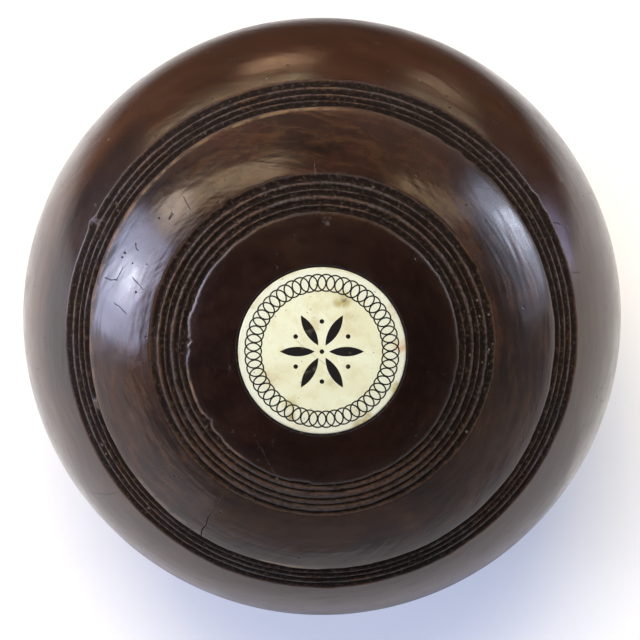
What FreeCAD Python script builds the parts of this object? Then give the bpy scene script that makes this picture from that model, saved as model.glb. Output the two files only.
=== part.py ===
import FreeCAD, Part
import math
import os

from FreeCAD import Vector

# A lawn bowl (a "wood"): one turned lump of lignum vitae with a disc let into each side.
# It lies on its bias side, the side of the small disc. Millimetres.
# Frame: +Z up along the disc axis, towards the large disc; the origin is the middle of the
# small disc's flat face, on which the bowl rests.

# Body
RUNNING_RADIUS = 62.5           # largest radius, at the running line
NON_BIAS_SEMI_AXIS = 58.6       # height of the half-ellipse on the large disc's side
BIAS_SEMI_AXIS = 59.6           # the bias side is turned a little fuller, which makes the bias

# Turned grooves: the radius of each groove's middle, the same on both sides of the bowl
INNER_GROOVE_RADII = (26.7, 28.0, 29.6, 30.8, 32.4)
OUTER_GROOVE_RADII = (46.1, 47.2, 48.4, 49.8)
GROOVE_DEPTH = 0.6
GROOVE_ROOT_RADIUS = 0.12
GROOVE_FLANK_ANGLE = 32.0       # degrees between a flank and the surface's normal
GROOVE_CUT_ABOVE = 0.3          # how far the cutter starts outside the surface

# Discs
LARGE_DISC_RADIUS = 15.9
LARGE_DISC_CROWN = 0.9          # rise of the domed face from rim to middle
SMALL_DISC_RADIUS = 11.0
DISC_THICKNESS = 6.0            # at the rim
DISC_EDGE_CHAMFER = 0.2
SMALL_DISC_PROUD = 0.1          # the resting face stands this far out of the wood

# Cement under and round each disc
CEMENT_BED = 0.8
CEMENT_GAP = 0.2
CEMENT_BELOW_RIM = 0.25         # the cement stops this far below the disc's chamfer

# Engraving, filled with wax: a chain of overlapping loops, and a six-petalled rosette.
# Shares are of the disc's radius.
ENGRAVING_DEPTH = 0.3
CHAIN_CENTRE_SHARE = 0.819      # where the loops' centres lie
LOOP_SHARE = 0.1075             # outer radius of one loop
CHAIN_LINE_SHARE = 0.0175       # width of the engraved line
CHAIN_LOOPS = 50
PETALS = 6
PETAL_START_SHARE = 0.085
PETAL_END_SHARE = 0.50
PETAL_WIDTH_SHARE = 0.115
DOT_SHARE = 0.028               # radius of the middle dot and of the dots between the petals
DOT_AT_SHARE = 0.36             # where the dots between the petals lie
PATTERN_MARGIN = 1.0            # how far the pattern's columns run past a disc's faces

AXIS = Vector(0, 0, 1)


def ellipse_height(radius, semi_axis):
    """Height of the turned surface over the running line at a radius."""
    return semi_axis * math.sqrt(1.0 - (radius / RUNNING_RADIUS) ** 2)


SMALL_RECESS_RADIUS = SMALL_DISC_RADIUS + CEMENT_GAP
LARGE_RECESS_RADIUS = LARGE_DISC_RADIUS + CEMENT_GAP
RUNNING_Z = SMALL_DISC_PROUD + ellipse_height(SMALL_RECESS_RADIUS, BIAS_SEMI_AXIS)
LARGE_RIM_Z = RUNNING_Z + ellipse_height(LARGE_RECESS_RADIUS, NON_BIAS_SEMI_AXIS)
LARGE_DISC_BACK_Z = LARGE_RIM_Z - DISC_THICKNESS
LARGE_RECESS_Z = LARGE_DISC_BACK_Z - CEMENT_BED
SMALL_DISC_BACK_Z = DISC_THICKNESS
SMALL_RECESS_Z = SMALL_DISC_BACK_Z + CEMENT_BED


def at(radius, height):
    """A point of the half-section, which lies in the XZ plane."""
    return Vector(radius, 0, height)


def outline(points):
    """Straight edges through the points of the half-section."""
    return [Part.LineSegment(a, b).toShape() for a, b in zip(points, points[1:])]


def turned(edges):
    """The solid that a closed half-section sweeps round the axis."""
    face = Part.Face(Part.Wire(Part.__sortEdges__(edges)))
    return face.revolve(Vector(0, 0, 0), AXIS, 360)


# ---- body ----

def half_ellipse(side, semi_axis, inner_radius):
    """The turned outline from the running line to a recess; side is +1 up, -1 down."""
    centre = at(0, RUNNING_Z)
    tip = at(0, RUNNING_Z + side * semi_axis)
    ellipse = Part.Ellipse(at(RUNNING_RADIUS, RUNNING_Z), tip, centre)
    return ellipse.toShape(0, math.acos(inner_radius / RUNNING_RADIUS))


def groove_section(radius, side, semi_axis):
    """A V with a round root, cut square to the surface at one radius."""
    height = side * ellipse_height(radius, semi_axis)
    foot = at(radius, RUNNING_Z + height)
    normal = at(radius / RUNNING_RADIUS ** 2, height / semi_axis ** 2).normalize()
    along = Vector(normal.z, 0, -normal.x)
    angle = math.radians(GROOVE_FLANK_ANGLE)
    root_centre = GROOVE_ROOT_RADIUS - GROOVE_DEPTH
    tangent_across = GROOVE_ROOT_RADIUS * math.cos(angle)
    tangent_up = root_centre - GROOVE_ROOT_RADIUS * math.sin(angle)
    mouth_across = tangent_across + math.tan(angle) * (GROOVE_CUT_ABOVE - tangent_up)

    def place(across, up):
        return foot + along * across + normal * up

    left = place(-tangent_across, tangent_up)
    right = place(tangent_across, tangent_up)
    left_mouth = place(-mouth_across, GROOVE_CUT_ABOVE)
    right_mouth = place(mouth_across, GROOVE_CUT_ABOVE)
    root = Part.Arc(left, place(0, -GROOVE_DEPTH), right).toShape()
    flanks = outline([right, right_mouth, left_mouth, left])
    return Part.Face(Part.Wire(Part.__sortEdges__([root] + flanks)))


def make_body():
    upper = half_ellipse(1, NON_BIAS_SEMI_AXIS, LARGE_RECESS_RADIUS)
    lower = half_ellipse(-1, BIAS_SEMI_AXIS, SMALL_RECESS_RADIUS)
    inside = outline([
        at(LARGE_RECESS_RADIUS, LARGE_RIM_Z),
        at(LARGE_RECESS_RADIUS, LARGE_RECESS_Z),
        at(0, LARGE_RECESS_Z),
        at(0, SMALL_RECESS_Z),
        at(SMALL_RECESS_RADIUS, SMALL_RECESS_Z),
        at(SMALL_RECESS_RADIUS, SMALL_DISC_PROUD),
    ])
    section = Part.Face(Part.Wire(Part.__sortEdges__([upper, lower] + inside)))
    grooves = []
    for side, semi_axis in ((1, NON_BIAS_SEMI_AXIS), (-1, BIAS_SEMI_AXIS)):
        for radius in INNER_GROOVE_RADII + OUTER_GROOVE_RADII:
            grooves.append(groove_section(radius, side, semi_axis))
    section = section.cut(grooves)
    return section.Faces[0].revolve(Vector(0, 0, 0), AXIS, 360)


# ---- discs ----

def make_blank_disc(radius, back_z, rim_z, crown):
    """A disc before engraving: chamfered at the rim, with a flat or gently domed face."""
    outward = math.copysign(1.0, rim_z - back_z)
    shoulder = at(radius, rim_z - outward * DISC_EDGE_CHAMFER)
    lip = at(radius - DISC_EDGE_CHAMFER, rim_z)
    middle = at(0, rim_z + outward * crown)
    edges = outline([middle, at(0, back_z), at(radius, back_z), shoulder, lip])
    if crown:
        dome_radius = (lip.x ** 2 + crown ** 2) / (2 * crown)
        half_way = lip.x / 2
        drop = dome_radius - math.sqrt(dome_radius ** 2 - half_way ** 2)
        edges.append(Part.Arc(lip, at(half_way, middle.z - outward * drop), middle).toShape())
    else:
        edges.append(Part.LineSegment(lip, middle).toShape())
    return turned(edges)


def directions(count, first=0.0):
    """Evenly spaced directions round the axis; first is the first one's turn, in steps."""
    for step in range(count):
        angle = 2 * math.pi * (step + first) / count
        yield Vector(math.cos(angle), math.sin(angle), 0)


def round_face(centre, radius):
    return Part.Face(Part.Wire(Part.Circle(centre, AXIS, radius).toShape()))


def chain_face(radius):
    """The engraved border: round rings of one line width, each overlapping its neighbours."""
    rings = []
    for direction in directions(CHAIN_LOOPS):
        centre = direction * (CHAIN_CENTRE_SHARE * radius)
        outer = round_face(centre, LOOP_SHARE * radius)
        inner = round_face(centre, (LOOP_SHARE - CHAIN_LINE_SHARE) * radius)
        rings.append(outer.cut(inner).Faces[0])
    return rings[0].multiFuse(rings[1:]).removeSplitter().Faces[0]


def petal_face(direction, radius):
    """One leaf of the rosette, between two arcs."""
    across = Vector(-direction.y, direction.x, 0) * (PETAL_WIDTH_SHARE * radius / 2)
    start = direction * (PETAL_START_SHARE * radius)
    end = direction * (PETAL_END_SHARE * radius)
    middle = (start + end) * 0.5
    left = Part.Arc(start, middle + across, end).toShape()
    right = Part.Arc(end, middle - across, start).toShape()
    return Part.Face(Part.Wire([left, right]))


def rosette_faces(radius):
    """A plain compass-drawn ornament: six leaves, and dots between them and in the middle."""
    faces = [round_face(Vector(0, 0, 0), DOT_SHARE * radius)]
    for direction in directions(PETALS):
        faces.append(petal_face(direction, radius))
    for direction in directions(PETALS, first=0.5):
        faces.append(round_face(direction * (DOT_AT_SHARE * radius), DOT_SHARE * radius))
    return faces


def make_fill(faces, blank, outward):
    """Wax in the engraving: the faces' pattern, in the outermost layer of a disc's face."""
    deeper = blank.translated(AXIS * (-outward * ENGRAVING_DEPTH))
    box = blank.BoundBox
    fills = []
    for face in faces:
        start = AXIS * (box.ZMin - PATTERN_MARGIN)
        column = face.translated(start).extrude(AXIS * (box.ZLength + 2 * PATTERN_MARGIN))
        fills.extend(column.common(blank).cut(deeper).Solids)
    return Part.makeCompound(fills)


def make_engraved_disc(blank, outward, radius):
    """A disc, the wax in its border and the wax in its mark, as three shapes."""
    border = make_fill([chain_face(radius)], blank, outward)
    mark = make_fill(rosette_faces(radius), blank, outward)
    disc = blank.cut(border.Solids + mark.Solids)
    return disc, border, mark


# ---- cement ----

def make_cement(disc_radius, recess_z, back_z, rim_z):
    """A shallow cup between a disc and its recess."""
    outward = math.copysign(1.0, rim_z - back_z)
    recess_radius = disc_radius + CEMENT_GAP
    wall_z = rim_z - outward * (DISC_EDGE_CHAMFER + CEMENT_BELOW_RIM)
    return turned(outline([
        at(0, recess_z),
        at(recess_radius, recess_z),
        at(recess_radius, wall_z),
        at(disc_radius, wall_z),
        at(disc_radius, back_z),
        at(0, back_z),
        at(0, recess_z),
    ]))


def make_large_disc():
    blank = make_blank_disc(LARGE_DISC_RADIUS, LARGE_DISC_BACK_Z, LARGE_RIM_Z, LARGE_DISC_CROWN)
    return make_engraved_disc(blank, 1, LARGE_DISC_RADIUS)


def make_small_disc():
    blank = make_blank_disc(SMALL_DISC_RADIUS, SMALL_DISC_BACK_Z, 0, 0)
    return make_engraved_disc(blank, -1, SMALL_DISC_RADIUS)


def make_nodes():
    large_disc, large_border, large_mark = make_large_disc()
    small_disc, small_border, small_mark = make_small_disc()
    return {
        "bowl_body": make_body(),
        "large_disc": large_disc,
        "large_disc_border_fill": large_border,
        "large_disc_mark_fill": large_mark,
        "large_disc_cement": make_cement(
            LARGE_DISC_RADIUS, LARGE_RECESS_Z, LARGE_DISC_BACK_Z, LARGE_RIM_Z),
        "small_disc": small_disc,
        "small_disc_border_fill": small_border,
        "small_disc_mark_fill": small_mark,
        "small_disc_cement": make_cement(
            SMALL_DISC_RADIUS, SMALL_RECESS_Z, SMALL_DISC_BACK_Z, 0),
    }


def main():
    os.makedirs("parts", exist_ok=True)
    for name, shape in make_nodes().items():
        shape.exportStep(os.path.join("parts", name + ".step"))
        print(name, len(shape.Solids), "solids", round(shape.Volume, 1), "mm3", shape.isValid())


main()
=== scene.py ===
import math

import bpy
import numpy as np
from mathutils import Matrix, Quaternion, Vector


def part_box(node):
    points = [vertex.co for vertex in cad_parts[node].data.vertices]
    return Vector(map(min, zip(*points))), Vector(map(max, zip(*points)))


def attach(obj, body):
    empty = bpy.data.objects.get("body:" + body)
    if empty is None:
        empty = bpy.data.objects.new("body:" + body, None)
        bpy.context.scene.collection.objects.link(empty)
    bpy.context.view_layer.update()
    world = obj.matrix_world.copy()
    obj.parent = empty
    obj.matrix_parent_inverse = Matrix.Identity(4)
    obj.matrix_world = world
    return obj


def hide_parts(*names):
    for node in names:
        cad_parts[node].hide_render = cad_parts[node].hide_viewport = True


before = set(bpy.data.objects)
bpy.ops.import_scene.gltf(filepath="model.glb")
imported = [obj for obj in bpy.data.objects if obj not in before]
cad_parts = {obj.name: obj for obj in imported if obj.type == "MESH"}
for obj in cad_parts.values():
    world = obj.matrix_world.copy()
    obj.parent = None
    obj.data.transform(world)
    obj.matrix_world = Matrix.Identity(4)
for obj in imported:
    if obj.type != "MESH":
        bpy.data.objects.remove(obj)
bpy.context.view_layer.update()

# A turned lignum vitae lawn bowl that lies on its small disc, with the large disc facing up.
# Metres. The object's sizes come from the frame; the few that a box can't give are named here.
MM = 0.001

body_low, body_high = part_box("bowl_body")
large_cement_low, large_cement_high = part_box("large_disc_cement")
_, small_cement_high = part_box("small_disc_cement")

RUNNING_RADIUS = min(body_high.x, body_high.y, -body_low.x, -body_low.y)
UPPER_SEMI_AXIS = 58.6 * MM
LOWER_SEMI_AXIS = 59.6 * MM
LARGE_RECESS_RADIUS = large_cement_high.x
SMALL_RECESS_RADIUS = small_cement_high.x
LARGE_RECESS_FLOOR = large_cement_low.z
SMALL_RECESS_FLOOR = small_cement_high.z


def height_share(radius):
    """How high the bowl's outline still is at a radius, as a share of its semi-axis."""
    return math.sqrt(1.0 - (radius / RUNNING_RADIUS) ** 2)


RUNNING_Z = body_low.z + LOWER_SEMI_AXIS * height_share(SMALL_RECESS_RADIUS)

# Grooves: radii of their middles, the same on both sides
INNER_GROOVES = [26.7 * MM, 28.0 * MM, 29.6 * MM, 30.8 * MM, 32.4 * MM]
OUTER_GROOVES = [46.1 * MM, 47.2 * MM, 48.4 * MM, 49.8 * MM]
GROOVE_DEPTH = 0.62 * MM
GROOVE_HALF_SHARE = 0.415       # half a groove's width, as a share of the space to the next groove


# ---------------------------------------------------------------- body mesh

COLUMNS = 500
TURN = np.arange(COLUMNS) * (2 * math.pi / COLUMNS)
UPPER, LOWER = 1, -1
WOOD_SLOT, GROOVE_SLOT = 0, 1


class Profile:
    """The turned outline of one side, by arc length from the pole."""

    def __init__(self, semi_axis, side):
        self.semi_axis = semi_axis
        self.side = side
        self.angles = np.linspace(0.0, math.pi / 2, 4001)
        speed = np.hypot(RUNNING_RADIUS * np.cos(self.angles), semi_axis * np.sin(self.angles))
        steps = (speed[1:] + speed[:-1]) / 2 * np.diff(self.angles)
        self.lengths = np.concatenate([[0.0], np.cumsum(steps)])
        self.end = self.lengths[-1]

    def length_at(self, radius):
        return float(np.interp(math.asin(radius / RUNNING_RADIUS), self.angles, self.lengths))

    def place(self, length, height):
        """Radius and z of points at arc lengths, raised by heights along the normal."""
        angle = np.interp(length, self.lengths, self.angles)
        normal_r = np.sin(angle) / RUNNING_RADIUS
        normal_z = np.cos(angle) / self.semi_axis
        size = np.hypot(normal_r, normal_z)
        radius = RUNNING_RADIUS * np.sin(angle) + height * normal_r / size
        z = self.semi_axis * np.cos(angle) + height * normal_z / size
        return radius, RUNNING_Z + self.side * z


def ring_noise(seed, low, high, falloff=0.0):
    """A periodic random curve round the bowl, of harmonics low to high, about -1 to 1."""
    random = np.random.default_rng(seed)
    curve = np.zeros(COLUMNS)
    power = 0.0
    for harmonic in range(low, high + 1):
        size = harmonic ** -falloff
        curve += size * np.cos(harmonic * TURN + random.uniform(0, 2 * math.pi))
        power += size * size / 2
    return curve / math.sqrt(power) * 0.6


def hump_round(angle_deg, width_deg):
    """A smooth hump round the bowl, 1 at one angle and 0 past its width."""
    away = np.abs((np.degrees(TURN) - angle_deg + 180.0) % 360.0 - 180.0) / width_deg
    return np.where(away < 1.0, (1.0 - np.clip(away, 0, 1) ** 2) ** 2, 0.0)


class Rings:
    """Collects rings of vertices from the recess towards the running line."""

    def __init__(self):
        self.length = []
        self.height = []
        self.cavity = []
        self.wear = []

    def add(self, length, height=0.0, cavity=0.0, wear=0.0):
        full = np.ones(COLUMNS)
        self.length.append(full * length)
        self.height.append(full * height)
        self.cavity.append(full * cavity)
        self.wear.append(full * wear)


# Where a groove stops or turns shallow: side, group, groove, angle, width, share of its depth kept
BREAKS = [
    (UPPER, "outer", 0, 196.0, 3.4, 0.0),
    (UPPER, "outer", 3, 152.5, 1.6, 0.1),
    (UPPER, "outer", 2, 151.5, 1.2, 0.6),
    (UPPER, "outer", 3, 24.0, 1.2, 0.35),
    (UPPER, "inner", 1, 37.0, 3.0, 0.55),
    (LOWER, "outer", 1, 70.0, 4.0, 0.1),
    (LOWER, "inner", 3, 210.0, 5.0, 0.2),
]
# Chips out of a groove's edge: side, group, groove, which edge (-1 in, 1 out), angle, width, size
CHIPS = [
    (UPPER, "inner", 0, -1, 176.0, 9.0, 0.7 * MM),
    (UPPER, "inner", 0, -1, 160.0, 6.0, 0.3 * MM),
    (UPPER, "inner", 0, -1, 212.0, 4.5, 0.75 * MM),
    (UPPER, "inner", 0, -1, 221.0, 3.0, 0.35 * MM),
    (UPPER, "inner", 0, -1, 262.0, 6.0, 0.3 * MM),
    (UPPER, "inner", 4, 1, 28.0, 3.0, 0.4 * MM),
    (UPPER, "inner", 4, 1, 122.0, 2.5, 0.35 * MM),
    (UPPER, "outer", 0, -1, 52.0, 2.2, 0.45 * MM),
    (UPPER, "outer", 0, -1, 57.5, 2.6, 0.35 * MM),
    (UPPER, "outer", 0, -1, 47.0, 1.8, 0.3 * MM),
    (UPPER, "outer", 3, 1, 33.0, 2.2, 0.5 * MM),
    (UPPER, "outer", 3, 1, 28.5, 1.6, 0.35 * MM),
    (UPPER, "outer", 3, 1, 153.5, 2.2, 0.8 * MM),
    (UPPER, "outer", 3, 1, 300.0, 3.0, 0.3 * MM),
    (LOWER, "inner", 0, -1, 30.0, 6.0, 0.5 * MM),
    (LOWER, "outer", 3, 1, 250.0, 3.0, 0.6 * MM),
    (LOWER, "outer", 0, -1, 330.0, 4.0, 0.4 * MM),
]
# Where a group's grooves are narrow and its ridges broad: side, group, angle, width, share lost
BROAD_RIDGES = [
    (UPPER, "inner", 272.0, 64.0, 0.42),
    (LOWER, "inner", 80.0, 60.0, 0.25),
]
# The plain wood's edge beside a group: distance from the groove and height in millimetres, wear
ROUNDED_LIP = [(0.85, 0.0, 0.05), (0.52, -0.016, 0.25), (0.28, -0.055, 0.45), (0.10, -0.125, 0.5)]
CRISP_LIP = [(0.06, -0.120, 0.5), (0.11, -0.045, 0.5), (0.22, -0.008, 0.25), (0.60, 0.0, 0.05)]
RAGGED_EDGE = 0.024 * MM
RAGGED_LIP = 0.018 * MM


class GrooveGroup:
    """One group of hand-cut grooves: where each runs, and how wide and how deep it is."""

    def __init__(self, profile, group, radii, seed):
        self.side = profile.side
        self.group = group
        self.seed = seed
        self.count = len(radii)
        self.middles = []
        self.halves = []
        self.depths = []
        lengths = [profile.length_at(radius) for radius in radii]
        drift = 0.06 * MM * ring_noise(seed, 1, 5, 1.0)
        breadth = np.ones(COLUMNS)
        for side, named, angle, width, lost in BROAD_RIDGES:
            if (side, named) == (self.side, group):
                breadth = breadth - lost * hump_round(angle, width)
        for index, length in enumerate(lengths):
            key = seed + 10 * index
            before = length - lengths[index - 1] if index else lengths[1] - lengths[0]
            after = lengths[index + 1] - length if index + 1 < self.count else before
            half = GROOVE_HALF_SHARE * min(before, after)
            wobble = 0.06 * MM * ring_noise(key + 1, 2, 14, 0.7)
            self.middles.append(length + drift + wobble)
            self.halves.append(half * breadth * (1.0 + 0.12 * ring_noise(key + 2, 6, 60, 0.3)))
            self.depths.append(self.depth(index, key + 3))

    def depth(self, index, key):
        """How deep a groove is round the bowl, with its breaks."""
        depth = 1.0 + 0.16 * ring_noise(key, 2, 40, 0.4)
        for side, named, number, angle, width, kept in BREAKS:
            if (side, named, number) == (self.side, self.group, index):
                depth = depth * (1.0 - (1.0 - kept) * hump_round(angle, width))
        return GROOVE_DEPTH * depth

    def edge(self, index, out, ragged=RAGGED_EDGE):
        """Where one edge of a groove runs, chips included; out is -1 or 1."""
        key = self.seed + 10 * index + (5 if out > 0 else 4)
        line = self.middles[index] + out * self.halves[index] + ragged * ring_noise(key, 25, 180, 0.1)
        if index == 0 and out < 0:
            line = line + 0.10 * MM * ring_noise(key + 3, 4, 28, 0.5)
        for side, named, number, chipped, angle, width, size in CHIPS:
            if (side, named, number, chipped) == (self.side, self.group, index, out):
                chip = hump_round(angle, width) * (1.0 + 0.35 * ring_noise(key + 2, 40, 120, 0.3))
                line = line + out * size * chip
        return line

    def add_groove(self, rings, index):
        """The rings across one groove; the side that faces up gets two more."""
        depth = self.depths[index]
        shallow = np.clip(depth / GROOVE_DEPTH, 0.0, 1.0)
        inner, outer = self.edge(index, -1), self.edge(index, 1)
        middle = (inner + outer) / 2
        brink = -0.15 * MM * shallow - 0.01 * MM
        rings.add(inner, brink, 0.40 * shallow, 0.35)
        if self.side == UPPER:
            rings.add(inner * 0.60 + middle * 0.40, -0.68 * depth, 0.80 * shallow, 0.05)
        rings.add(inner * 0.30 + middle * 0.70, -depth, shallow, 0.0)
        rings.add(outer * 0.30 + middle * 0.70, -depth, shallow, 0.0)
        if self.side == UPPER:
            rings.add(outer * 0.60 + middle * 0.40, -0.68 * depth, 0.80 * shallow, 0.05)
        rings.add(outer, brink, 0.40 * shallow, 0.35)

    def add_ridge(self, rings, index):
        """The top of the ridge after a groove, worn down and here and there crumbled."""
        key = self.seed + 10 * index + 8
        ridge = (self.edge(index, 1) + self.edge(index + 1, -1)) / 2
        worn = np.clip(0.06 + 0.06 * ring_noise(key, 20, 120, 0.3), 0.0, 0.3)
        crumbled = np.clip(ring_noise(key + 1, 30, 170, 0.0) - 0.45, 0.0, 0.6)
        rings.add(ridge, -(worn + 0.4 * crumbled) * MM, 0.6 * crumbled, 1.0)

    def add_lip(self, rings, index, out, steps):
        """The edge of the plain wood beside the group."""
        edge = self.edge(index, out, RAGGED_LIP)
        for away, height, wear in steps:
            rings.add(edge + out * away * MM, height * MM, 0.0, wear)

    def add_to(self, rings):
        self.add_lip(rings, 0, -1, ROUNDED_LIP)
        for index in range(self.count):
            self.add_groove(rings, index)
            if index + 1 < self.count:
                self.add_ridge(rings, index)
        self.add_lip(rings, self.count - 1, 1, CRISP_LIP)


def add_land(rings, start, end, count):
    """Plain rings between two arc lengths, both left out."""
    for step in range(1, count + 1):
        rings.add(start + (end - start) * step / (count + 1))


def side_rings(profile, recess_radius, plain):
    """All rings of one side, from the recess to just short of the running line."""
    rings = Rings()
    start = profile.length_at(recess_radius)
    rings.add(start, -0.12 * MM, 1.0)
    rings.add(start + 0.10 * MM, -0.03 * MM, 0.6)
    rings.add(start + 0.30 * MM)
    inner_in = profile.length_at(INNER_GROOVES[0])
    inner_out = profile.length_at(INNER_GROOVES[-1])
    outer_in = profile.length_at(OUTER_GROOVES[0])
    outer_out = profile.length_at(OUTER_GROOVES[-1])
    far, near = 2.0 * MM, 1.5 * MM
    seed = 100 if profile.side == UPPER else 500
    add_land(rings, start + 0.30 * MM, inner_in - far, plain[0])
    GrooveGroup(profile, "inner", INNER_GROOVES, seed).add_to(rings)
    add_land(rings, inner_out + near, outer_in - near, plain[1])
    GrooveGroup(profile, "outer", OUTER_GROOVES, seed + 200).add_to(rings)
    add_land(rings, outer_out + far, profile.end, plain[2])
    return rings


# The radial crack's path over the upper side: radius, azimuth in degrees, half width, depth
CRACK = [
    (34.6 * MM, 236.6, 0.04 * MM, 0.05 * MM),
    (37.2 * MM, 236.8, 0.08 * MM, 0.25 * MM),
    (40.0 * MM, 237.1, 0.09 * MM, 0.25 * MM),
    (41.1 * MM, 237.1, 0.10 * MM, 0.30 * MM),
    (42.5 * MM, 237.9, 0.13 * MM, 0.45 * MM),
    (44.1 * MM, 237.7, 0.13 * MM, 0.45 * MM),
    (45.6 * MM, 238.5, 0.13 * MM, 0.45 * MM),
]


def crack_columns(profile, length):
    """Column angles with five columns moved onto the crack, and how deep each vertex sinks."""
    angles = np.tile(TURN, (length.shape[0], 1))
    sunk = np.zeros_like(length)
    radii, azimuths, half_widths, depths = np.array(CRACK).T
    middle = int(round(math.radians(azimuths.mean()) / TURN[1]))
    for row in range(length.shape[0]):
        reach = profile.place(length[row, middle], 0.0)[0]
        if radii[0] < reach < radii[-1]:
            centre = math.radians(np.interp(reach, radii, azimuths))
            spread = np.interp(reach, radii, half_widths) / reach
            angles[row, middle - 2:middle + 3] = centre + spread * np.array([-1.8, -1, 0, 1, 1.8])
            sunk[row, middle] = np.interp(reach, radii, depths)
    return angles, sunk


def build_rows(profile, rings):
    """Vertex rows, cavity and wear of one side, from the recess outwards."""
    length = np.array(rings.length)
    height = np.array(rings.height)
    cavity = np.array(rings.cavity)
    angles = TURN
    if profile.side == UPPER:
        angles, sunk = crack_columns(profile, length)
        height = height - sunk
        cavity = np.maximum(cavity, np.minimum(1.0, sunk / (0.3 * MM)))
    radius, z = profile.place(length, np.minimum(height, 0.0))
    rows = np.stack([radius * np.cos(angles), radius * np.sin(angles), z], axis=-1)
    return rows, cavity, np.array(rings.wear)


def plain_row(radius, z):
    return np.stack([radius * np.cos(TURN), radius * np.sin(TURN), np.full(COLUMNS, z)], axis=-1)


def make_mesh(name, vertices, faces):
    mesh = bpy.data.meshes.new(name)
    mesh.from_pydata([tuple(v) for v in vertices], [], faces)
    mesh.validate()
    mesh.polygons.foreach_set("use_smooth", [True] * len(mesh.polygons))
    mesh.update()
    piece = bpy.data.objects.new(name, mesh)
    bpy.context.scene.collection.objects.link(piece)
    return piece


def float_layer(mesh, name, values):
    layer = mesh.attributes.new(name, "FLOAT", "POINT")
    layer.data.foreach_set("value", np.ascontiguousarray(values, dtype=np.float32))


def skin_faces(rows):
    """Quads between neighbouring rows, and then fans from the two poles that follow the rows."""
    top_pole, bottom_pole = rows * COLUMNS, rows * COLUMNS + 1
    last = (rows - 1) * COLUMNS
    faces = []
    for row in range(rows - 1):
        for column in range(COLUMNS):
            a = row * COLUMNS + column
            b = row * COLUMNS + (column + 1) % COLUMNS
            faces.append((a, a + COLUMNS, b + COLUMNS, b))
    for column in range(COLUMNS):
        after = (column + 1) % COLUMNS
        faces.append((top_pole, column, after))
        faces.append((bottom_pole, last + after, last + column))
    return faces


def mark_grooves(mesh, cavity):
    """Gives the groove material to every face that lies deep, and to the recess floors."""
    beside = (cavity + np.roll(cavity, -1, axis=1)) / 2
    deep = ((beside[:-1] + beside[1:]) / 2 > 0.45).ravel()
    floors = np.ones(2 * COLUMNS, bool)
    slots = np.where(np.append(deep, floors), GROOVE_SLOT, WOOD_SLOT)
    mesh.polygons.foreach_set("material_index", slots.astype(np.int32))


def make_body():
    """The whole wooden body as one closed mesh, recesses included."""
    upper = Profile(UPPER_SEMI_AXIS, UPPER)
    lower = Profile(LOWER_SEMI_AXIS, LOWER)
    upper_rows, upper_cavity, upper_wear = build_rows(
        upper, side_rings(upper, LARGE_RECESS_RADIUS, (6, 12, 12)))
    lower_rows, lower_cavity, lower_wear = build_rows(
        lower, side_rings(lower, SMALL_RECESS_RADIUS, (6, 6, 8)))
    rows = np.concatenate([
        plain_row(LARGE_RECESS_RADIUS, LARGE_RECESS_FLOOR)[None],
        upper_rows,
        plain_row(RUNNING_RADIUS, RUNNING_Z)[None],
        lower_rows[::-1],
        plain_row(SMALL_RECESS_RADIUS, SMALL_RECESS_FLOOR)[None],
    ])
    one, none = np.ones((1, COLUMNS)), np.zeros((1, COLUMNS))
    cavity = np.concatenate([one, upper_cavity, none, lower_cavity[::-1], one])
    wear = np.concatenate([none, upper_wear, none, lower_wear[::-1], none])
    poles = [[0.0, 0.0, LARGE_RECESS_FLOOR], [0.0, 0.0, SMALL_RECESS_FLOOR]]
    vertices = np.concatenate([rows.reshape(-1, 3), poles])
    body = make_mesh("bowl_body_wood", vertices, skin_faces(rows.shape[0]))
    float_layer(body.data, "cavity", np.append(cavity.ravel(), [1.0, 1.0]))
    float_layer(body.data, "wear", np.append(wear.ravel(), [0.0, 0.0]))
    mark_grooves(body.data, cavity)
    return body


# ---------------------------------------------------------------- material tools

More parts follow.
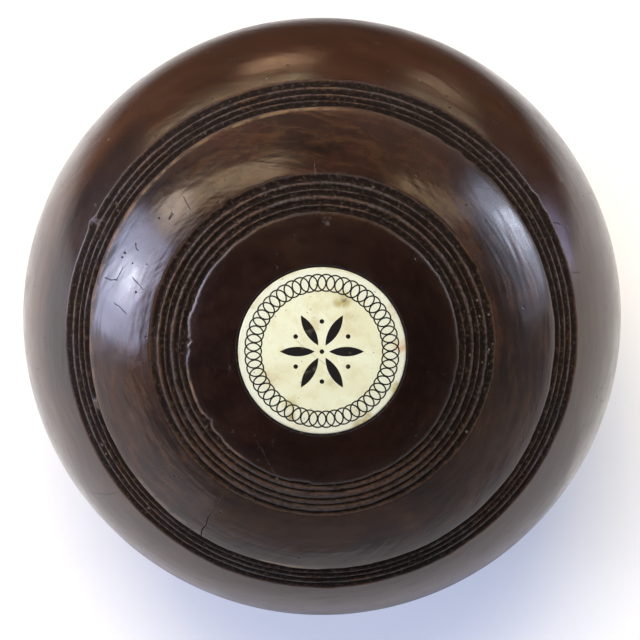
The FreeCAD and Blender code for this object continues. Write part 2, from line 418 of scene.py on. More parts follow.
class Shader:
    """Builds one material's nodes; put and set connect them, and the other methods return sockets."""

    def __init__(self, name):
        self.material = bpy.data.materials.new(name)
        self.material.use_nodes = True
        self.nodes = self.material.node_tree.nodes
        self.links = self.material.node_tree.links
        self.surface = self.nodes["Principled BSDF"]
        self.place = self.nodes.new("ShaderNodeTexCoord").outputs["Object"]

    def put(self, socket, value):
        if isinstance(value, bpy.types.NodeSocket):
            self.links.new(value, socket)
        else:
            socket.default_value = value

    def set(self, **values):
        for name, value in values.items():
            self.put(self.surface.inputs[name.replace("_", " ")], value)

    def math(self, operation, a, b=0.0, c=0.0):
        node = self.nodes.new("ShaderNodeMath")
        node.operation = operation
        for socket, value in zip(node.inputs, (a, b, c)):
            self.put(socket, value)
        return node.outputs[0]

    def times(self, *shares):
        """The product of several values."""
        product = shares[0]
        for share in shares[1:]:
            product = self.math("MULTIPLY", product, share)
        return product

    def most(self, shares):
        """The largest of several values."""
        largest = shares[0]
        for share in shares[1:]:
            largest = self.math("MAXIMUM", largest, share)
        return largest

    def ramp(self, value, low, high, start=0.0, end=1.0):
        """Maps low..high to start..end along a smooth step, and stays there outside."""
        node = self.nodes.new("ShaderNodeMapRange")
        node.interpolation_type = "SMOOTHSTEP"
        for name, number in (("Value", value), ("From Min", low), ("From Max", high),
                             ("To Min", start), ("To Max", end)):
            self.put(node.inputs[name], number)
        return node.outputs[0]

    def mix(self, share, a, b):
        """Colour a where the share is 0, and colour b where it is 1."""
        node = self.nodes.new("ShaderNodeMix")
        node.data_type = "RGBA"
        node.clamp_factor = True
        self.put(node.inputs[0], share)
        for socket, value in ((node.inputs[6], a), (node.inputs[7], b)):
            self.put(socket, value if isinstance(value, bpy.types.NodeSocket) else (*value, 1.0))
        return node.outputs[2]

    def scaled(self, vector, scale, turn=0.0):
        """The vector turned about z, in degrees, and then scaled by axis."""
        node = self.nodes.new("ShaderNodeMapping")
        node.vector_type = "TEXTURE"
        self.put(node.inputs["Vector"], vector)
        node.inputs["Scale"].default_value = [1.0 / part for part in scale]
        node.inputs["Rotation"].default_value = (0.0, 0.0, math.radians(turn))
        return node.outputs[0]

    def vector_math(self, operation, a, b):
        node = self.nodes.new("ShaderNodeVectorMath")
        node.operation = operation
        self.put(node.inputs[0], a)
        self.put(node.inputs[1], b)
        return node.outputs["Value" if operation in ("DISTANCE", "DOT_PRODUCT") else "Vector"]

    def noise(self, vector, per_metre, octaves=3.0, rough=0.5, distortion=0.0):
        node = self.nodes.new("ShaderNodeTexNoise")
        self.put(node.inputs["Vector"], vector)
        node.inputs["Scale"].default_value = per_metre
        node.inputs["Detail"].default_value = octaves
        node.inputs["Roughness"].default_value = rough
        node.inputs["Distortion"].default_value = distortion
        return node.outputs["Fac"]

    def dots(self, per_metre, full, gone):
        """Scattered round dots: 1 at their middles, 0 past a share of the cells' size."""
        node = self.nodes.new("ShaderNodeTexVoronoi")
        self.put(node.inputs["Vector"], self.place)
        node.inputs["Scale"].default_value = per_metre
        return self.ramp(node.outputs["Distance"], full, gone, 1.0, 0.0)

    def layer(self, name):
        node = self.nodes.new("ShaderNodeAttribute")
        node.attribute_name = name
        return node.outputs["Fac"]

    def length(self, x, y):
        return self.math("SQRT", self.math("MULTIPLY_ADD", x, x, self.math("MULTIPLY", y, y)))

    def split(self, vector):
        node = self.nodes.new("ShaderNodeSeparateXYZ")
        self.put(node.inputs[0], vector)
        return node.outputs

    def join(self, x, y, z):
        node = self.nodes.new("ShaderNodeCombineXYZ")
        for socket, value in zip(node.inputs, (x, y, z)):
            self.put(socket, value)
        return node.outputs[0]

    def bump(self, height, distance, strength=1.0, under=None):
        node = self.nodes.new("ShaderNodeBump")
        self.put(node.inputs["Height"], height)
        node.inputs["Distance"].default_value = distance
        node.inputs["Strength"].default_value = strength
        if under is not None:
            self.put(node.inputs["Normal"], under)
        return node.outputs[0]

    def spot(self, place, centre, radius, soft):
        """1 within a radius of a point, falling to 0 over a soft edge."""
        away = self.vector_math("DISTANCE", place, centre)
        return self.ramp(away, radius, radius + soft, 1.0, 0.0)

    def line_mark(self, place, wobble, start, end, half_width):
        """A thin mark between two points, seen along z; the points and width in millimetres."""
        run = Vector((end[0] - start[0], end[1] - start[1], 0.0)) * MM
        along_way = run.normalized()
        across_way = Vector((-along_way.y, along_way.x, 0.0))
        middle = (Vector((*start, 0.0)) + Vector((*end, 0.0))) / 2 * MM
        offset = self.vector_math("SUBTRACT", place, middle)
        along = self.math("ABSOLUTE", self.vector_math("DOT_PRODUCT", offset, along_way))
        across = self.math("ADD", self.vector_math("DOT_PRODUCT", offset, across_way), wobble)
        across = self.math("ABSOLUTE", across)
        half = run.length / 2
        return self.times(self.ramp(along, half * 0.6, half, 1.0, 0.0),
                          self.ramp(across, half_width * 0.4 * MM, half_width * MM, 1.0, 0.0))


# ---------------------------------------------------------------- wood

# Fine cracks in the polish, seen from above: start, end, half width in millimetres, strength
FINE_CRACKS = [
    ((-42.3, 12.5), (-39.5, 12.1), 0.11, 0.8),
    ((-39.7, 12.0), (-38.3, 14.9), 0.10, 0.8),
    ((-36.6, 13.0), (-33.9, 10.6), 0.08, 0.6),
    ((-40.2, 8.1), (-37.3, 5.8), 0.09, 0.7),
    ((-36.0, 19.5), (-35.3, 18.0), 0.13, 0.8),
    ((-29.5, 24.2), (-28.5, 25.6), 0.24, 0.7),
    ((-26.7, 28.6), (-25.0, 26.0), 0.09, 0.7),
    ((45.0, 22.8), (47.2, 22.2), 0.10, 0.8),
    ((49.0, 12.7), (51.2, 12.5), 0.10, 0.8),
    ((-39.5, -31.2), (-47.5, -33.6), 0.08, 0.6),
]
# Small pits: x, y and radius, in millimetres
PITS = [
    (-38.1, 17.5, 0.22), (-38.6, 16.6, 0.18), (-35.7, 10.2, 0.20), (-36.5, 15.6, 0.14),
    (-33.6, 15.6, 0.14), (-31.3, 24.3, 0.18), (35.0, 31.5, 0.16), (27.7, 26.9, 0.16),
]
# Pale scuffs: start, end, half width in millimetres, strength
SCUFFS = [
    ((-1.5, 35.3), (-1.0, 32.5), 0.16, 0.30),
    ((1.1, 25.4), (0.7, 22.9), 1.10, 0.30),
    ((46.8, 31.9), (48.6, 29.6), 0.90, 0.30),
    ((-13.0, -16.6), (-8.3, -25.4), 0.22, 0.10),
    ((8.9, -25.1), (9.9, -24.8), 0.45, 0.60),
    ((18.7, 50.8), (19.6, 50.3), 0.35, 0.50),
]
# Tinted stretches of rings: radius, half width in millimetres, azimuth, half angle, strength, colour
ARCS = [
    (52.5, 5.0, 162.0, 36.0, 0.75, (0.0080, 0.0058, 0.0055)),
    (59.0, 4.0, 152.0, 44.0, 0.40, (0.085, 0.036, 0.015)),
    # a worn lip painted golden, and partly a painted highlight along it
    (45.1, 0.4, 122.0, 42.0, 0.60, (0.17, 0.105, 0.050)),
    (45.2, 0.6, 168.0, 32.0, 0.60, (0.11, 0.052, 0.025)),
    (45.1, 0.6, 226.0, 14.0, 0.35, (0.19, 0.125, 0.070)),
    (45.3, 0.5, 262.0, 9.0, 0.60, (0.22, 0.140, 0.070)),
    # a worn inner lip, with a painted highlight along it
    (26.0, 0.5, 212.0, 26.0, 0.60, (0.20, 0.110, 0.050)),
    (53.0, 4.5, 48.0, 36.0, 0.40, (0.0150, 0.0065, 0.0055)),
    (55.5, 6.0, 121.0, 18.0, 0.32, (0.0150, 0.0065, 0.0050)),
    (37.0, 7.0, 330.0, 34.0, 0.55, (0.0070, 0.0040, 0.0035)),
]
BROAD_ARC = 2.0                 # arcs at least this half wide are clouded, and narrower ones broken up
# Where the figure is liveliest, at the top and the lower left: centre, radius, soft edge
LIVELY_SPOTS = [
    ((-9 * MM, 41 * MM, 101 * MM), 10 * MM, 18 * MM),
    ((-34 * MM, -21 * MM, 104 * MM), 11 * MM, 14 * MM),
]

DARK_WOOD = (0.0065, 0.0032, 0.0024)
BROWN_WOOD = (0.029, 0.0128, 0.0062)
ORANGE_WOOD = (0.095, 0.042, 0.0165)
RED_WOOD = (0.036, 0.0128, 0.0078)
DARK_FIBRE = (0.0060, 0.0030, 0.0022)
PALE_FLECK = (0.060, 0.027, 0.0130)
PALE_STREAK = (0.075, 0.034, 0.0150)
DARK_STREAK = (0.0080, 0.0050, 0.0045)
CENTRE_WOOD = (0.0078, 0.0034, 0.0030)
FLANK_WOOD = (0.060, 0.0225, 0.0105)
# dark dirt in the grooves that is also painted shade, for the shadow deep in them
DARK_DIRT_AND_SHADE = (0.0085, 0.0056, 0.0043)
PALE_DIRT = (0.042, 0.027, 0.019)
# painted light on groove walls that face the warm light
LIT_WALL_BROWN = (0.042, 0.023, 0.014)
GREY_RUB = (0.110, 0.084, 0.072)
ORANGE_RUB = (0.150, 0.080, 0.040)
DUST = (0.16, 0.15, 0.13)
# pale crumbs in the grooves, partly painted glints
CRUMB_AND_GLINT = (0.22, 0.20, 0.16)
SCUFF = (0.13, 0.105, 0.105)
PIT = (0.0040, 0.0030, 0.0028)


class Wood:
    """The places, masks and noises that the wood's colour, gloss and bumps share."""

    def __init__(self, s):
        self.s = s
        self.x, self.y, self.z = s.split(s.place)
        self.radius = s.length(self.x, self.y)
        self.upper = s.ramp(self.z, RUNNING_Z, RUNNING_Z + 1.0 * MM)
        self.cavity = s.layer("cavity")
        self.wear = s.layer("wear")
        self.cloud = s.noise(s.place, 42.0, 5.0, 0.6, 0.4)
        self.uneven = s.ramp(s.noise(s.place, 330.0, 3.0, 0.6), 0.40, 0.60, 0.15, 1.0)
        self.around = s.vector_math("DIVIDE", s.join(self.x, self.y, 0.0),
                                    s.join(self.radius, self.radius, 1.0))
        self.outwards = s.join(0.0, 0.0, self.radius)
        # the pith is off the disc axis, and it leans
        pith_x = s.math("MULTIPLY_ADD", self.z, 0.10, s.math("ADD", self.x, 6.0 * MM))
        pith_y = s.math("MULTIPLY_ADD", self.z, -0.06, s.math("ADD", self.y, 10.0 * MM))
        from_pith = s.length(pith_x, pith_y)
        warp = s.noise(s.place, 14.0, 3.0, 0.55)
        self.growth = s.math("ADD", from_pith, s.math("MULTIPLY", warp, 22.0 * MM))
        self.pith_way_x = s.math("DIVIDE", pith_x, from_pith)
        self.pith_way_y = s.math("DIVIDE", pith_y, from_pith)

    def growth_rings(self, per_metre, along, octaves, rough):
        """Streaks that follow the growth rings; along says how short they are."""
        s = self.s
        upwards = s.math("MULTIPLY", self.z, 20.0)
        place = s.join(s.math("MULTIPLY", self.growth, per_metre),
                       s.math("MULTIPLY", self.pith_way_x, along),
                       s.math("MULTIPLY_ADD", self.pith_way_y, along, upwards))
        return s.noise(place, 1.0, octaves, rough)

    def turned_rings(self, per_metre, along, octaves, rough):
        """Streaks round the disc axis, as turning and polishing on a lathe leave them."""
        s = self.s
        place = s.vector_math("ADD", s.scaled(self.around, (along, along, 1.0)),
                              s.scaled(self.outwards, (1.0, 1.0, per_metre)))
        return s.noise(place, 1.0, octaves, rough)

    def arc(self, at, half_width, azimuth, half_angle):
        """A soft mark along part of a ring: millimetres across it, degrees along it."""
        s = self.s
        across = s.math("ABSOLUTE", s.math("SUBTRACT", self.radius, at * MM))
        turn = math.radians(azimuth)
        facing = s.math("MULTIPLY_ADD", self.x, math.cos(turn),
                        s.math("MULTIPLY", self.y, math.sin(turn)))
        facing = s.math("DIVIDE", facing, self.radius)
        end = math.cos(math.radians(half_angle))
        return s.times(s.ramp(across, 0.3 * half_width * MM, half_width * MM, 1.0, 0.0),
                       s.ramp(facing, end, (1.0 + end) / 2))


def heartwood(wood):
    """The colour of the wood itself: growth rings, figure, fibre, flecks and turned streaks."""
    s = wood.s
    wide = wood.growth_rings(110.0, 1.2, 3.0, 0.5)
    medium = wood.growth_rings(330.0, 2.6, 3.0, 0.55)
    fine = wood.growth_rings(1150.0, 5.0, 3.0, 0.6)
    fibre = s.noise(s.scaled(s.place, (620.0, 620.0, 40.0)), 1.0, 4.0, 0.6, 0.3)
    fleck = s.noise(s.place, 260.0, 4.0, 0.65)
    streaks = wood.turned_rings(520.0, 5.0, 5.0, 0.6)
    lively = s.most([s.spot(s.place, *where) for where in LIVELY_SPOTS])
    figure = s.most([lively, s.ramp(s.noise(s.place, 26.0, 2.0, 0.5), 0.45, 0.62)])
    gate = s.most([s.ramp(wide, 0.34, 0.70), s.times(lively, 0.6)])

    colour = s.mix(s.ramp(wide, 0.30, 0.72), DARK_WOOD, BROWN_WOOD)
    colour = s.mix(s.ramp(wood.cloud, 0.48, 0.66, 0.0, 0.55), colour, RED_WOOD)
    colour = s.mix(s.ramp(medium, 0.44, 0.74, 0.0, 0.60), colour, DARK_WOOD)
    colour = s.mix(s.times(s.ramp(fine, 0.46, 0.80, 0.0, 0.60), gate, figure), colour, ORANGE_WOOD)
    colour = s.mix(s.ramp(fibre, 0.45, 0.75, 0.0, 0.45), colour, DARK_FIBRE)
    colour = s.mix(s.ramp(fleck, 0.46, 0.72, 0.0, 0.24), colour, PALE_FLECK)
    shown = s.ramp(figure, 0.0, 1.0, 0.20, 0.45)
    colour = s.mix(s.times(s.ramp(streaks, 0.46, 0.76), shown), colour, PALE_STREAK)
    return s.mix(s.ramp(streaks, 0.26, 0.50, 0.45, 0.0), colour, DARK_STREAK)


def zoned(wood, colour):
    """Nearly black wood next to the disc, redder wood towards the running line, tinted arcs."""
    s = wood.s
    ragged = s.math("ADD", wood.radius, s.math("MULTIPLY", wood.cloud, 10.0 * MM))
    centre = s.ramp(ragged, 29.0 * MM, 44.0 * MM)
    colour = s.mix(centre, s.mix(0.72, colour, CENTRE_WOOD), colour)
    ragged = s.math("ADD", wood.radius, s.math("MULTIPLY", wood.cloud, 8.0 * MM))
    colour = s.mix(s.ramp(ragged, 46.0 * MM, 60.0 * MM, 0.0, 0.34), colour, FLANK_WOOD)
    clouded = s.ramp(wood.cloud, 0.35, 0.60, 0.55, 1.0)
    for at, half_width, azimuth, half_angle, strength, tone in ARCS:
        texture = clouded if half_width >= BROAD_ARC else wood.uneven
        arc = wood.arc(at, half_width, azimuth, half_angle)
        colour = s.mix(s.times(arc, texture, wood.upper, strength), colour, tone)
    return colour


def soiled(wood, colour):
    """Dirt with painted shade in the grooves, painted light on the front walls of the inner grooves,
    edges rubbed bare, specks of dust, and pale crumbs that are partly painted glints.
    """
    s = wood.s
    grit = s.noise(s.place, 1500.0, 3.0, 0.6)
    dirt_and_shade = s.mix(s.ramp(grit, 0.52, 0.72), DARK_DIRT_AND_SHADE, PALE_DIRT)
    # painted light: towards the front, the inner grooves' walls are painted brown where the warm light
    # from above falls on them
    lit_front_grooves = s.times(wood.arc(29.5, 7.0, 245.0, 80.0), wood.upper)
    lit_walls = s.times(s.ramp(wood.cavity, 0.55, 0.95, 1.0, 0.0), lit_front_grooves)
    dirt_and_shade = s.mix(s.times(lit_walls, wood.uneven), dirt_and_shade, LIT_WALL_BROWN)
    # darkens the grooves and the recess edge: dirt, and painted shade
    colour = s.mix(s.ramp(wood.cavity, 0.02, 0.36), colour, dirt_and_shade)
    rubbed = s.mix(s.ramp(s.noise(s.place, 75.0, 3.0, 0.6), 0.44, 0.62), GREY_RUB, ORANGE_RUB)
    worn = s.times(wood.wear, s.ramp(grit, 0.34, 0.62, 0.15, 1.0))
    colour = s.mix(s.times(worn, s.ramp(lit_front_grooves, 0.0, 1.0, 0.48, 0.42)), colour, rubbed)
    dusty = s.ramp(s.noise(s.place, 60.0, 1.0), 0.54, 0.60)
    colour = s.mix(s.times(s.dots(95.0, 0.010, 0.022), dusty), colour, DUST)
    # pale specks in the grooves: crumbs, and partly painted glints
    crumbs_and_glints = s.ramp(s.noise(s.place, 80.0, 2.0), 0.55, 0.62)
    inside = s.ramp(wood.cavity, 0.30, 0.60, 0.0, 0.45)
    return s.mix(s.times(s.dots(500.0, 0.08, 0.18), crumbs_and_glints, inside), colour, CRUMB_AND_GLINT)


def wood_marks(wood):
    """Cracks, pits and pores as one share, and pale scuffs as another."""
    s = wood.s
    flat = s.join(wood.x, wood.y, 0.0)
    wobble = s.math("MULTIPLY", s.math("SUBTRACT", s.noise(s.place, 420.0, 2.0), 0.5), 1.1 * MM)
    broken = s.ramp(s.noise(s.place, 950.0, 3.0, 0.6), 0.42, 0.60, 0.10, 1.0)
    dark = []
    for start, end, half_width, strength in FINE_CRACKS:
        dark.append(s.times(s.line_mark(flat, wobble, start, end, half_width), strength))
    for at_x, at_y, size in PITS:
        dark.append(s.spot(flat, (at_x * MM, at_y * MM, 0.0), 0.3 * size * MM, size * MM))
    pale = []
    for start, end, half_width, strength in SCUFFS:
        pale.append(s.times(s.line_mark(flat, wobble, start, end, half_width), broken, strength))
    pores = s.times(s.dots(330.0, 0.07, 0.13), s.ramp(s.noise(s.place, 90.0, 2.0), 0.52, 0.62))
    marks = s.math("MAXIMUM", s.times(s.most(dark), wood.upper), s.times(pores, 0.4))
    return marks, s.times(s.most(pale), wood.upper)


def hairline_scratches(s):
    """Very fine handling scratches that run in several directions."""
    fields = []
    for turn, along in ((32.0, 90.0), (-48.0, 120.0), (78.0, 100.0)):
        lines = s.noise(s.scaled(s.place, (2600.0, along, 90.0), turn), 1.0, 2.0, 0.5)
        fields.append(s.ramp(lines, 0.60, 0.76))
    return s.most(fields)


def wood_gloss(wood, marks, scuffs, scratches):
    """Roughness: old polish of uneven gloss, duller where it is dirty, worn or marked."""
    s = wood.s
    rough = s.ramp(s.noise(s.place, 150.0, 4.0, 0.65), 0.3, 0.7, 0.14, 0.24)
    dullers = (
        (scratches, 0.05),
        (s.ramp(wood.cavity, 0.05, 0.4), 0.60),
        (s.math("MAXIMUM", marks, scuffs), 0.25),
        (wood.wear, 0.42),
    )
    for share, more in dullers:
        rough = s.math("MULTIPLY_ADD", share, more, rough)
    return s.math("MINIMUM", rough, 1.0)


def wood_bumps(wood, marks, scratches):
    """Slow waves, growth rings, turning lines, and hollows where there is a mark."""
    s = wood.s
    normal = s.bump(s.noise(s.place, 70.0, 2.0, 0.5), 0.6 * MM, 0.25)
    normal = s.bump(wood.growth_rings(330.0, 2.6, 1.5, 0.45), 0.14 * MM, 0.5, normal)
    normal = s.bump(wood.growth_rings(900.0, 5.0, 1.0, 0.4), 0.06 * MM, 0.5, normal)
    normal = s.bump(wood.turned_rings(800.0, 3.0, 1.5, 0.45), 0.08 * MM, 0.5, normal)
    hollows = s.times(s.math("MAXIMUM", marks, s.times(scratches, 0.014)), -1.0)
    return s.bump(hollows, 0.15 * MM, 1.0, normal)


def wood_material(name, specular):
    """Dark, oily heartwood under old polish."""
    s = Shader(name)
    wood = Wood(s)
    marks, scuffs = wood_marks(wood)
    scratches = hairline_scratches(s)
    colour = soiled(wood, zoned(wood, heartwood(wood)))
    colour = s.mix(scuffs, colour, SCUFF)
    colour = s.mix(marks, colour, PIT)
    s.set(Base_Color=colour,
          Roughness=wood_gloss(wood, marks, scuffs, scratches),
          Normal=wood_bumps(wood, marks, scratches),
          IOR=1.5,
          Specular_IOR_Level=specular)
    return s.material


# ---------------------------------------------------------------- disc, wax and cement

# Stains on the disc: x, y, radius and soft edge in millimetres, strength, colour
DISC_STAINS = [
    (4.0, 9.7, 0.5, 1.8, 1.26, (0.36, 0.31, 0.13)),
    (4.1, 9.8, 0.10, 0.63, 1.26, (0.13, 0.10, 0.05)),
    (2.9, 9.3, 0.2, 1.1, 0.73, (0.36, 0.31, 0.13)),
    (5.7, 5.9, 0.5, 2.8, 0.46, (0.42, 0.36, 0.18)),
    (-1.6, 5.2, 0.4, 2.2, 0.46, (0.42, 0.36, 0.18)),
    (-9.3, -4.8, 0.6, 3.1, 0.55, (0.44, 0.36, 0.18)),
    (-5.9, -10.4, 0.3, 2.0, 0.73, (0.40, 0.35, 0.15)),
    (1.8, -6.0, 0.3, 1.7, 0.55, (0.40, 0.35, 0.17)),
    (-5.8, -12.6, 0.2, 1.1, 1.01, (0.30, 0.25, 0.10)),
    (14.3, 8.0, 0.5, 2.1, 0.83, (0.45, 0.34, 0.17)),
    (15.4, 1.2, 0.6, 2.2, 1.01, (0.48, 0.34, 0.20)),
    (14.3, -7.2, 0.4, 1.7, 1.09, (0.38, 0.33, 0.15)),
    (8.3, -13.2, 0.5, 1.8, 1.09, (0.36, 0.29, 0.13)),
    (6.9, -14.4, 0.3, 1.4, 0.91, (0.30, 0.24, 0.11)),
    (7.2, -11.8, 0.4, 2.0, 0.73, (0.40, 0.35, 0.17)),
    (-3.9, -14.9, 0.4, 2.0, 0.83, (0.42, 0.34, 0.16)),
    (-12.8, 9.2, 0.3, 1.4, 0.83, (0.40, 0.33, 0.16)),
]
# Hairlines on the disc: start, end, half width in millimetres, strength
DISC_LINES = [
    ((-5.4, 2.6), (-0.6, -1.6), 0.13, 0.35),
    ((-0.8, -1.4), (1.4, -2.9), 0.11, 0.45),
    ((8.2, -13.7), (9.0, -13.2), 0.10, 0.9),
]
PALE_CREAM = (0.605, 0.628, 0.462)
YELLOW_CREAM = (0.578, 0.582, 0.388)
MOTTLE_CREAM = (0.52, 0.490, 0.290)
RIM_SHEEN_CREAM = (0.580, 0.600, 0.488)
DISC_EDGE_BROWN = (0.36, 0.31, 0.15)
DISC_SPECK = (0.16, 0.12, 0.06)
DISC_HAIRLINE = (0.16, 0.13, 0.08)
THICK_WAX = (0.007, 0.006, 0.004)
THIN_WAX = (0.070, 0.060, 0.042)
DARK_CEMENT = (0.006, 0.004, 0.003)
CEMENT_GRIT = (0.024, 0.016, 0.010)


def disc_material():
    """Aged cream disc: yellower inside, with a painted pale sheen at the rim, brown stains and fine dark
    specks.
    """
    s = Shader("aged_cream_disc")
    x, y, _ = s.split(s.place)
    flat = s.join(x, y, 0.0)
    radius = s.length(x, y)
    cloud = s.noise(s.place, 130.0, 4.0, 0.6, 0.5)
    mottle = s.noise(s.place, 420.0, 3.0, 0.6)
    colour = s.mix(s.ramp(cloud, 0.32, 0.70), PALE_CREAM, YELLOW_CREAM)
    colour = s.mix(s.ramp(mottle, 0.46, 0.70, 0.0, 0.60), colour, MOTTLE_CREAM)
    # painted sheen: the rim is painted paler and bluer, where its rounded edge catches the window light
    colour = s.mix(s.ramp(radius, 10.5 * MM, 14.0 * MM, 0.0, 0.8), colour, RIM_SHEEN_CREAM)
    ragged = s.ramp(mottle, 0.35, 0.60, 0.25, 1.0)
    for at_x, at_y, size, soft, strength, tone in DISC_STAINS:
        blot = s.spot(flat, (at_x * MM, at_y * MM, 0.0), size * MM, soft * MM)
        colour = s.mix(s.times(blot, ragged, strength), colour, tone)
    # a mottled darker brown ring along the disc's edge
    edge = s.times(s.ramp(radius, 15.3 * MM, 15.9 * MM, 0.0, 0.5), s.ramp(mottle, 0.40, 0.62, 0.1, 1.0))
    colour = s.mix(edge, colour, DISC_EDGE_BROWN)
    dirty = s.ramp(s.noise(s.place, 200.0, 2.0), 0.46, 0.58, 0.0, 0.75)
    colour = s.mix(s.times(s.dots(820.0, 0.07, 0.16), dirty), colour, DISC_SPECK)
    wobble = s.math("MULTIPLY", s.math("SUBTRACT", mottle, 0.5), 0.5 * MM)
    for start, end, half_width, strength in DISC_LINES:
        mark = s.line_mark(flat, wobble, start, end, half_width)
        colour = s.mix(s.times(mark, strength), colour, DISC_HAIRLINE)
    scratches = s.noise(s.scaled(s.place, (2400.0, 180.0, 180.0), 30.0), 1.0, 2.0, 0.6)
    normal = s.bump(s.noise(s.place, 240.0, 3.0, 0.5), 0.08 * MM, 0.4)
    normal = s.bump(scratches, 0.01 * MM, 0.3, normal)
    s.set(Base_Color=colour, Roughness=s.ramp(cloud, 0.3, 0.7, 0.24, 0.36), Normal=normal, IOR=1.52)
    return s.material


def wax_material():
    """Black wax in the engraving, rubbed thin in places."""
    s = Shader("engraving_wax")
    thin = s.noise(s.place, 420.0, 3.0, 0.6)
    s.set(Base_Color=s.mix(s.ramp(thin, 0.56, 0.80), THICK_WAX, THIN_WAX),
          Roughness=s.ramp(thin, 0.3, 0.7, 0.45, 0.7),
          Normal=s.bump(s.noise(s.place, 1800.0, 3.0, 0.6), 0.03 * MM, 0.6),
          Specular_IOR_Level=0.25)
    return s.material


def cement_material():
    """Dark resin cement, dull and gritty."""
    s = Shader("disc_cement")
    grit = s.noise(s.place, 1500.0, 3.0, 0.6)
    s.set(Base_Color=s.mix(s.ramp(grit, 0.4, 0.7), DARK_CEMENT, CEMENT_GRIT),
          Roughness=s.ramp(grit, 0.3, 0.7, 0.6, 0.85),
          Normal=s.bump(grit, 0.06 * MM, 0.8))
    return s.material


def finish_node(name, material):
    """Puts a material into every slot of a CAD node that stays."""
    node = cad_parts[name]
    for index in range(len(node.data.materials)):
        node.data.materials[index] = material


# ---------------------------------------------------------------- stage

FLOOR_HALF = 3.0
CARD_HEIGHT = 1.0 * MM
FLOOR_GREY_WHITE = (0.92, 0.92, 0.93)
FLOOR_BRIGHT_WHITE = (0.95, 0.95, 0.95)
FLOOR_WHITE = (0.93, 0.93, 0.94)
BROWN = (0.022, 0.012, 0.007)
SHADED_FLOOR = (0.56, 0.55, 0.58)
DARKEST_FLOOR = (0.43, 0.41, 0.41)


def make_floor():
    size = FLOOR_HALF
    corners = [(-size, -size, 0.0), (size, -size, 0.0), (size, size, 0.0), (-size, size, 0.0)]
    floor = make_mesh("floor", corners, [(0, 1, 2, 3)])
    s = Shader("pale_floor")
    tone = s.noise(s.place, 6.0, 3.0, 0.5)
    s.set(Base_Color=s.mix(tone, FLOOR_GREY_WHITE, FLOOR_BRIGHT_WHITE), Roughness=0.6)
    floor.data.materials.append(s.material)


def make_card(name, points, faces):
    """A flat shape just over the floor that shows only in reflections, for what stood round it."""
    card = make_mesh(name, [(x, y, CARD_HEIGHT) for x, y in points], faces)
    card.visible_camera = False
    card.visible_diffuse = False
    card.visible_shadow = False
    card.visible_transmission = False
    return card


# Gleams on the brown card: azimuth in degrees, distance, radius, radiance
GLEAMS = [
    (100.0, 0.228, 0.020, (3.2, 2.0, 1.2)),
    (62.0, 0.230, 0.016, (2.0, 1.4, 0.9)),
    (16.0, 0.350, 0.045, (3.4, 3.3, 5.2)),
]
GLEAMS += [(azimuth, 0.40, 0.022, (6.0, 4.9, 3.1)) for azimuth in (97.0, 106.0, 115.0, 124.0, 132.0)]
GLEAMS += [(azimuth, 0.40, 0.018, (5.0, 4.2, 2.8)) for azimuth in (52.0, 59.0, 66.0)]
BRIGHTEST_GLEAM = 8.0
CARD_REACH = 0.8                # how far the brown card runs to each side
SOFT_EDGE = 0.030


def make_brown_card():
    """The dark brown beyond the white floor's soft edge, with a few gleams."""
    points = []
    faces = []
    steps = 64
    for step in range(steps + 1):
        x = -CARD_REACH + 2 * CARD_REACH * step / steps
        # the edge bulges away behind the bowl, and comes nearer towards the left
        edge = 0.046 + 0.016 / (1.0 + (x / 0.105) ** 2) + 0.04 * max(-0.4, min(x, 0.0))
        points += [(x, edge), (x, edge + SOFT_EDGE), (x, 0.9)]
        if step:
            a = 3 * step
            faces += [(a - 3, a, a + 1, a - 2), (a - 2, a + 1, a + 2, a - 1)]
    card = make_card("brown_card", points, faces)
    float_layer(card.data, "brown", [0.0, 1.0, 1.0] * (steps + 1))
    s = Shader("brown_card")
    glow = (0.0, 0.0, 0.0)
    for azimuth, distance, radius, radiance in GLEAMS:
        turn = math.radians(azimuth)
        centre = (distance * math.cos(turn), distance * math.sin(turn), 0.0)
        tone = tuple(part / BRIGHTEST_GLEAM for part in radiance)
        glow = s.mix(s.spot(s.place, centre, radius, 0.03), glow, tone)
    s.set(Base_Color=s.mix(s.layer("brown"), FLOOR_WHITE, BROWN), Roughness=0.7,
          Emission_Color=glow, Emission_Strength=BRIGHTEST_GLEAM)
    card.data.materials.append(s.material)


def make_front_card():
    """The white floor in front, in the shade that the bowl's reflection shows there."""
    corners = [(-0.6, -0.8), (0.6, -0.8), (0.6, -0.066), (-0.6, -0.066)]
    card = make_card("front_card", corners, [(0, 1, 2, 3)])
    s = Shader("front_card")
    shade = s.spot(s.place, (0.03, -0.16, 0.0), 0.07, 0.15)
    near = s.spot(s.place, (0.01, -0.070, 0.0), 0.015, 0.045)
    tone = s.mix(shade, FLOOR_WHITE, SHADED_FLOOR)
    s.set(Base_Color=s.mix(near, tone, DARKEST_FLOOR), Roughness=0.7)
    card.data.materials.append(s.material)


# ---------------------------------------------------------------- lights, world, camera

AIM = Vector((0.0, 0.0, RUNNING_Z))
FAR, NEARER, NEAREST = 4.5, 4.4, 4.3       # a light that overlaps another one stands in front of it

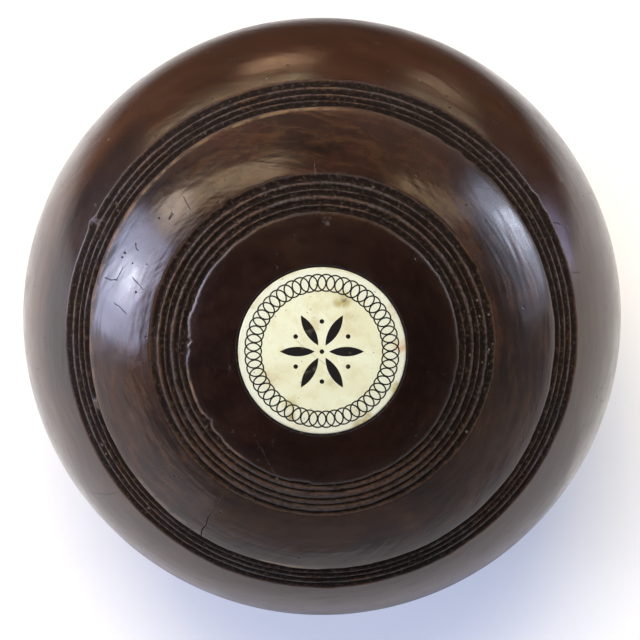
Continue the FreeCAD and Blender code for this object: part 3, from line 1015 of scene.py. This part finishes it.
# Soft windows as the bowl sees them: name, azimuth, elevation, width, height and roll in degrees,
# distance, radiance
WINDOWS = [
    ("left_window", 169.0, 12.5, 34.0, 25.0, -12.0, FAR, (6.4, 6.8, 9.8)),
    ("left_window_middle", 169.0, 13.0, 16.0, 15.0, -12.0, NEARER, (4.5, 4.7, 5.6)),
    ("left_back_glow", -148.0, 4.0, 56.0, 20.0, 0.0, FAR, (0.80, 0.68, 0.68)),
    ("left_window_core", 168.0, 14.0, 5.0, 5.0, 0.0, NEAREST, (26.0, 27.0, 29.0)),
    ("left_sill", 144.0, 19.0, 13.0, 12.0, -20.0, NEARER, (4.4, 3.8, 3.6)),
    ("warm_window", 126.0, 24.5, 44.0, 9.5, -19.0, FAR, (4.5, 3.4, 2.2)),
    ("right_glow", 22.0, 8.0, 44.0, 22.0, 15.0, FAR, (0.94, 1.02, 1.35)),
    ("right_window", 23.0, 5.5, 34.0, 9.0, 19.0, NEARER, (3.2, 3.6, 4.8)),
    ("right_window_core", 25.0, 4.5, 13.0, 5.0, 18.0, NEAREST, (12.5, 13.8, 16.5)),
    ("warm_lamp", 49.0, 27.0, 24.0, 6.0, 15.0, FAR, (3.6, 2.7, 1.6)),
    ("overhead", -90.0, 83.4, 24.0, 24.0, 0.0, FAR, (1.6, 1.6, 1.7)),
]
# Adds plain light from above, but isn't seen in the polish
KEY_LIGHT = ("warm_key", 97.0, 55.0, 30.0, 30.0, 0.0, FAR, (11.5, 10.0, 6.9))


def make_window(name, azimuth, elevation, width, height, roll, distance, radiance):
    """A soft rectangular light that faces the bowl."""
    turn, lift = math.radians(azimuth), math.radians(elevation)
    direction = Vector((math.cos(lift) * math.cos(turn), math.cos(lift) * math.sin(turn), math.sin(lift)))
    light = bpy.data.lights.new(name, "AREA")
    light.shape = "RECTANGLE"
    light.size = 2 * distance * math.tan(math.radians(width) / 2)
    light.size_y = 2 * distance * math.tan(math.radians(height) / 2)
    strongest = max(radiance)
    light.color = [part / strongest for part in radiance]
    light.energy = math.pi * light.size * light.size_y * strongest
    lamp = bpy.data.objects.new(name, light)
    lamp.location = AIM + direction * distance
    facing = direction.to_track_quat("Z", "Y") @ Quaternion((0.0, 0.0, 1.0), math.radians(roll))
    lamp.rotation_euler = facing.to_euler()
    lamp.visible_camera = False
    bpy.context.scene.collection.objects.link(lamp)
    return lamp


def make_lights():
    for window in WINDOWS:
        make_window(*window)
    key = make_window(*KEY_LIGHT)
    key.visible_glossy = False


ROOM_TINT = (1.0, 0.90, 0.92)
SKY_BLUE = (0.54, 0.67, 1.0)
SKY_STRENGTH = 0.52
BACKDROP = (0.98, 0.98, 0.99)


def make_world():
    """A dim room in reflections, paler low down and in front; blue sky light; a pale backdrop."""
    world = bpy.data.worlds.new("room")
    bpy.context.scene.world = world
    world.use_nodes = True
    nodes, links = world.node_tree.nodes, world.node_tree.links
    nodes.remove(nodes["Background"])

    def fade(value, low, high, start, end):
        node = nodes.new("ShaderNodeMapRange")
        for name, number in (("From Min", low), ("From Max", high), ("To Min", start), ("To Max", end)):
            node.inputs[name].default_value = number
        links.new(value, node.inputs["Value"])
        return node.outputs[0]

    def background(colour):
        node = nodes.new("ShaderNodeBackground")
        node.inputs["Color"].default_value = (*colour, 1.0)
        return node

    def choose(share, a, b):
        node = nodes.new("ShaderNodeMixShader")
        for socket, output in zip(node.inputs, (share, a, b)):
            links.new(output, socket)
        return node.outputs[0]

    place = nodes.new("ShaderNodeTexCoord")
    split = nodes.new("ShaderNodeSeparateXYZ")
    links.new(place.outputs["Generated"], split.inputs[0])
    strength = nodes.new("ShaderNodeMath")
    strength.operation = "MULTIPLY"
    links.new(fade(split.outputs[2], 0.1, 0.65, 0.42, 0.02), strength.inputs[0])
    links.new(fade(split.outputs[1], -0.6, 0.6, 1.15, 0.5), strength.inputs[1])
    room = background(ROOM_TINT)
    links.new(strength.outputs[0], room.inputs["Strength"])
    sky = background(SKY_BLUE)
    sky.inputs["Strength"].default_value = SKY_STRENGTH
    pale = background(BACKDROP)
    path = nodes.new("ShaderNodeLightPath")
    lit = choose(path.outputs["Is Diffuse Ray"], room.outputs[0], sky.outputs[0])
    seen = choose(path.outputs["Is Camera Ray"], lit, pale.outputs[0])
    links.new(seen, nodes["World Output"].inputs["Surface"])


CAMERA_TILT = math.radians(6.57)
CAMERA_DISTANCE = 9.0 * RUNNING_RADIUS
CAMERA_LENS = 150.5             # millimetres, on a sensor 36 mm wide
CAMERA_SHIFT = (-0.003, -0.005)


def make_camera():
    """Looks nearly straight down the disc axis."""
    camera = bpy.data.cameras.new("camera")
    camera.lens = CAMERA_LENS
    camera.sensor_width = 36.0
    camera.shift_x, camera.shift_y = CAMERA_SHIFT
    camera.clip_start = 0.01
    holder = bpy.data.objects.new("camera", camera)
    back = Vector((0.0, math.sin(CAMERA_TILT), math.cos(CAMERA_TILT)))
    up = Vector((0.0, math.cos(CAMERA_TILT), -math.sin(CAMERA_TILT)))
    right = up.cross(back)
    turn = Matrix((right, up, back)).transposed()
    holder.matrix_world = Matrix.Translation(AIM + back * CAMERA_DISTANCE) @ turn.to_4x4()
    bpy.context.scene.collection.objects.link(holder)
    bpy.context.scene.camera = holder


def main():
    body = make_body()
    body.data.materials.append(wood_material("turned_lignum_vitae", 0.5))
    # the groove faces: the same wood with a weak reflection and the dark groove colour, as painted shade
    # in the grooves besides their dirt
    body.data.materials.append(wood_material("groove_dirt_and_shade", 0.10))
    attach(body, "root")
    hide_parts("bowl_body")

    disc, wax, cement = disc_material(), wax_material(), cement_material()
    for side in ("large", "small"):
        finish_node(side + "_disc", disc)
        finish_node(side + "_disc_border_fill", wax)
        finish_node(side + "_disc_mark_fill", wax)
        finish_node(side + "_disc_cement", cement)

    make_floor()
    make_brown_card()
    make_front_card()
    make_lights()
    make_world()
    make_camera()
    bpy.context.scene.view_settings.view_transform = "Standard"


main()
